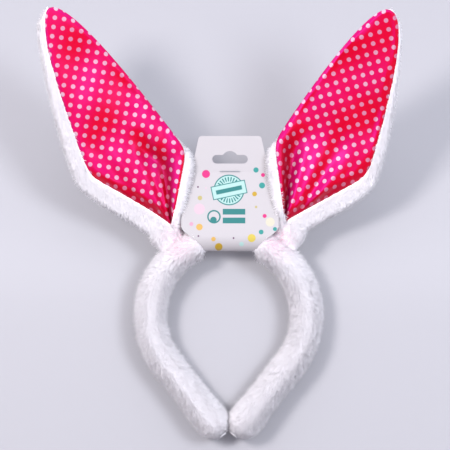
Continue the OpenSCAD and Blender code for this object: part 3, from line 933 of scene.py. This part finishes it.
ink = mix_colour(tree, disc(mark_x - 0.4, mark_z - 2.6, 2.6), ink, DEEP_TEAL)
for z in (31.4, 24.4):
    ink = mix_colour(tree, block(4.4, z, 18, 4.6), ink, DEEP_TEAL)
plain = (0.405, 0.38, 0.39)
fibre = math_node(tree, "ADD", mottled(tree, 700, 0.08), 1.0)
printed = mix_colour(tree, front_only, plain, ink)
tree.links.new(printed, shader.inputs["Base Color"])
tree.links.new(math_node(tree, "MULTIPLY", fibre, 0.42), shader.inputs["Roughness"])

# %% [markdown]
# The board itself is a strip of grid. It runs down the front, round under the tube and up the back,
# on the same line as the CAD card, and its width follows the cut: sloping sides, a shoulder that
# sweeps in to the neck, and a narrower back. The hang slot is cut through both halves at once.

# %% Folded board
board = 0.5 * MM
staple_low, staple_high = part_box("card_staple")
knee_z = (staple_low.z + staple_high.z) / 2 - 1 * MM
loop_c = ring_z + ring_r
loop_mid = (card_high.y - card_low.y) / 2 - board / 2
knee_y = 0.4 * MM
reach_to = math.hypot(knee_y, knee_z - loop_c)
open_by = math.acos(loop_mid / reach_to) + math.asin(knee_y / reach_to)
path = [(-knee_y, card_high.z - k * 0.5 * MM) for k in range(int((card_high.z - knee_z) / (0.5 * MM)))]
foot_y, foot_z = -loop_mid * math.sin(open_by), loop_c + loop_mid * math.cos(open_by)
path += [(-knee_y + (foot_y + knee_y) * k / 60, knee_z + (foot_z - knee_z) * k / 60) for k in range(60)]
path += [(-loop_mid * math.sin(a), loop_c + loop_mid * math.cos(a))
         for a in np.linspace(open_by, 2 * math.pi - open_by, 61)[:-1]]
path += [(knee_y - (foot_y + knee_y) * k / 60, foot_z + (knee_z - foot_z) * k / 60) for k in range(60)]
path += [(knee_y, knee_z + k * 0.5 * MM) for k in range(int((card_high.z - knee_z) / (0.5 * MM)) + 1)]
path = np.array(path)
wide, top_half, neck_half, back_half = (card_high.x - card_low.x) / 2, 24.8 * MM, 21.6 * MM, 24 * MM


def board_half(z, front):
    sides = top_half + (wide - top_half) * np.clip((card_high.z - z) / (66 * MM), 0, 1)
    sweep = neck_half + (wide + 0.8 * MM - neck_half) * smoothstep(z, 1.2 * MM, 21 * MM)
    face = -np.logaddexp(-sides / MM, -sweep / MM) * MM
    rear = neck_half + (back_half - neck_half) * smoothstep(z, 14 * MM, 29 * MM)
    corner = 2 * MM - np.sqrt(np.clip((2 * MM) ** 2 - np.clip(z - card_high.z + 2 * MM, 0, None) ** 2, 0, None))
    return np.maximum(np.where(front, face, rear), neck_half) - corner


header, a, b = grid("printed_header_card", 60, len(path) - 1)
row = np.rint(b * (len(path) - 1)).astype(int)
y, z = path[row, 0], path[row, 1]
set_points(header, np.stack([card_x + (2 * a - 1) * board_half(z, y < 0), y, z], -1))
header.data.materials.append(card_mat)
apply_modifier(header, "SOLIDIFY", thickness=board, offset=0)

slot_z = frame["record"]["mounts"][1]["pos_m"][2]
slot_len, slot_r, bump_r = 10.75, 3.45, 6.6
deselect()
bpy.ops.mesh.primitive_circle_add(vertices=180, radius=1, fill_type="NGON")
cutter = named("slot_cutter")
turn_at = np.arctan2(points(cutter)[:, 1], points(cutter)[:, 0])
sine, cosine = np.abs(np.sin(turn_at)) + 1e-9, np.abs(np.cos(turn_at))
flat_edge = slot_r / sine
round_end = slot_len * cosine + np.sqrt(np.clip(slot_r ** 2 - (slot_len * sine) ** 2, 0, None))
reach_at = np.where(flat_edge * cosine <= slot_len, flat_edge, round_end)
reach_at = np.where(np.sin(turn_at) > 0, np.maximum(reach_at, bump_r), reach_at) * MM
set_points(cutter, np.stack([card_x + reach_at * np.cos(turn_at), 0 * turn_at - 3 * MM,
                             slot_z + reach_at * np.sin(turn_at)], -1))
bpy.ops.object.mode_set(mode="EDIT")
bpy.ops.mesh.select_all(action="SELECT")
bpy.ops.mesh.extrude_region_move(TRANSFORM_OT_translate={"value": (0, 6 * MM, 0)})
bpy.ops.object.mode_set(mode="OBJECT")
face_outward(cutter)
apply_modifier(header, "BOOLEAN", operation="DIFFERENCE", object=cutter, solver="EXACT")
bpy.data.objects.remove(cutter)
face_outward(header)
choose(header)
bpy.ops.object.shade_smooth_by_angle(angle=math.radians(35))
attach(header, "card")
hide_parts("header_card")
print("card", [round(v / MM, 1) for v in header.dimensions])

# %% Finish the CAD pieces that stay
KEPT = {
    "card_staple": wire, "band_crown": plastic, "band_left": plastic,
    "band_right": plastic, "left_end_stitch": thread_mat, "right_end_stitch": thread_mat,
}
for name, finish in KEPT.items():
    node = frame["nodes"][name]
    node.data.materials.clear()
    node.data.materials.append(finish)


# %% [markdown]
# Each ear's foot is drawn in by three turns of thread. Each turn is a ring that follows the foot's
# own section, so that it lies on the cloth under the pile.

# %% Gathering threads
def gather(ear):
    turns = []
    for k in range(3):
        deselect()
        bpy.ops.mesh.primitive_torus_add(major_segments=72, minor_segments=8, major_radius=1, minor_radius=0.1)
        ring = bpy.context.object
        co = points(ring)
        around = np.arctan2(co[:, 1], co[:, 0])
        swing, rise = (np.hypot(co[:, 0], co[:, 1]) - 1) / 0.1, co[:, 2] / 0.1
        thick = 0.42 * MM
        s = 2.2 * MM + k * 0.95 * MM + rise * thick
        q, depth = foot_section(ear, 2.2 * MM + k * 0.95 * MM, around, 0.25 * MM + swing * thick)
        set_points(ring, ear.point(q, s, depth))
        turns.append(ring)
    deselect()
    for ring in turns:
        ring.select_set(True)
    bpy.context.view_layer.objects.active = turns[0]
    bpy.ops.object.join()
    obj = named(f"{ear.name}_gathering_thread")
    face_outward(obj)
    smooth(obj)
    obj.data.materials.append(thread_mat)
    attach(obj, f"{ear.name}_ear")
    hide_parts(f"{ear.name}_ear_gather")


gather(EAR["left"])
gather(EAR["right"])
